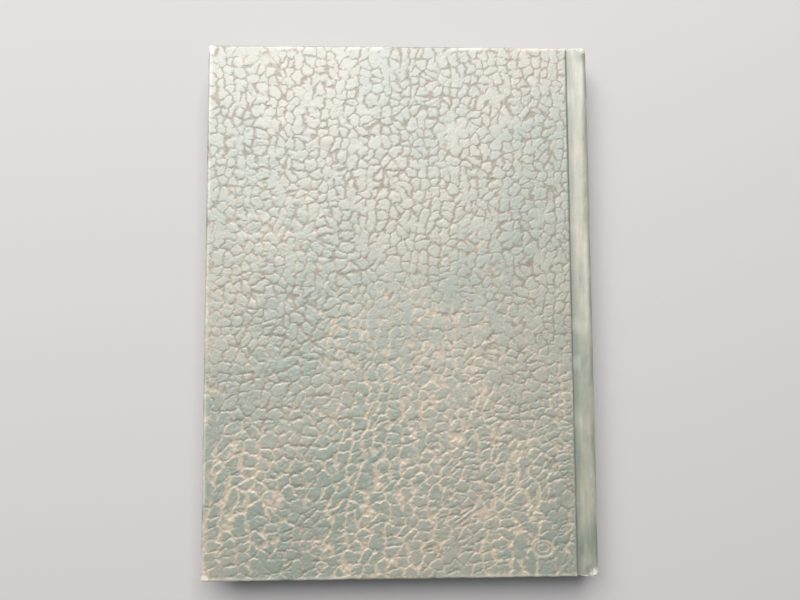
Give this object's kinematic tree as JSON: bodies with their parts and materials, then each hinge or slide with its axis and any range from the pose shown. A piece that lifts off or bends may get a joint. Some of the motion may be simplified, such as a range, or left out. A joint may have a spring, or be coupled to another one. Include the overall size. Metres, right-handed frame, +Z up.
{
  "type": "pilot logbook",
  "caption": "Case-bound A5 pilot logbook in pale grained leatherette with a smooth cloth spine; the covers open and the sewn block opens at its centre leaves.",
  "frame": {"origin": "centre of the closed book's footprint, on the plane it rests on", "axes": "+Z up through the closed book from front cover to back cover, +X towards the spine, +Y towards the head"},
  "size_m": [0.157, 0.216, 0.0179],
  "materials": {
    "grained_cover": "crinkle-grained leatherette, pale silvery green-grey with tan creases, satin",
    "spine_cloth": "smooth coated spine cloth, green-grey, satin",
    "binders_board": "raw greyboard",
    "endpaper": "uncoated endpaper",
    "page_paper": "uncoated cream ledger paper with ruled columns",
    "thread": "waxed linen thread",
    "linen_tape": "woven linen tape",
    "mull": "open-weave mull",
    "kraft_lining": "brown kraft paper",
    "band": "two-colour woven band"
  },
  "bodies": {
    "text_front": {"section_01": "page_paper", "section_02": "page_paper", "section_03": "page_paper", "section_04": "page_paper", "section_05": "page_paper", "section_06": "page_paper", "thread_front": "thread", "tapes_front": "linen_tape", "mull_front": "mull", "spine_lining_front": "kraft_lining", "headband_front": "band", "tailband_front": "band", "front_joint_cloth": "spine_cloth"},
    "front_flyleaf": {"front_flyleaf": "endpaper"},
    "front_cover": {"front_board": "binders_board", "front_side_cover": "grained_cover", "front_pastedown": "endpaper"},
    "spine": {"spine_inlay": "binders_board", "spine_cloth": "spine_cloth"},
    "leaf_a": {"centre_leaf_a": "page_paper"},
    "leaf_b": {"centre_leaf_b": "page_paper"},
    "text_back": {"section_07": "page_paper", "section_08": "page_paper", "section_09": "page_paper", "section_10": "page_paper", "section_11": "page_paper", "section_12": "page_paper", "thread_back": "thread", "tapes_back": "linen_tape", "mull_back": "mull", "spine_lining_back": "kraft_lining", "headband_back": "band", "tailband_back": "band", "back_joint_cloth": "spine_cloth"},
    "back_flyleaf": {"back_flyleaf": "endpaper"},
    "back_cover": {"back_board": "binders_board", "back_side_cover": "grained_cover", "back_pastedown": "endpaper"}
  },
  "joints": [
    {"name": "front_cover_hinge", "type": "hinge", "parent": "text_front", "child": "front_cover", "pos_m": [0.075, 0, 0.00145], "axis": [0, -1, 0], "range_deg": [0, 179.9]},
    {"name": "front_flyleaf_turn", "type": "hinge", "parent": "text_front", "child": "front_flyleaf", "pos_m": [0.07429, 0, 0.00331], "axis": [0, -1, 0], "range_deg": [0, 12.59]},
    {"name": "leaf_a_turn", "type": "hinge", "parent": "text_front", "child": "leaf_a", "pos_m": [0.07429, 0, 0.00874], "axis": [0, -1, 0], "range_deg": [-6, 0]},
    {"name": "leaf_b_turn", "type": "hinge", "parent": "leaf_a", "child": "leaf_b", "pos_m": [0.07429, 0, 0.00893], "axis": [0, -1, 0], "range_deg": [-6, 0]},
    {"name": "book_opening", "type": "hinge", "parent": "leaf_b", "child": "text_back", "pos_m": [0.07429, 0, 0.00911], "axis": [0, -1, 0], "range_deg": [-168, 0]},
    {"name": "spine_swing", "type": "hinge", "parent": "text_front", "child": "spine", "pos_m": [0.075, 0, 0.0002], "axis": [0, -1, 0], "range_deg": [-90, 0]},
    {"name": "back_cover_hinge", "type": "hinge", "parent": "text_back", "child": "back_cover", "pos_m": [0.075, 0, 0.0164], "axis": [0, 1, 0], "range_deg": [0, 179.9]},
    {"name": "back_flyleaf_turn", "type": "hinge", "parent": "text_back", "child": "back_flyleaf", "pos_m": [0.07429, 0, 0.01453], "axis": [0, 1, 0], "range_deg": [0, 12.59]}
  ],
  "couplings": [
    {"joint": "front_flyleaf_turn", "follows": "front_cover_hinge", "ratio": 0.07},
    {"joint": "back_flyleaf_turn", "follows": "back_cover_hinge", "ratio": 0.07},
    {"joint": "spine_swing", "follows": "book_opening", "ratio": 0.53571}
  ]
}
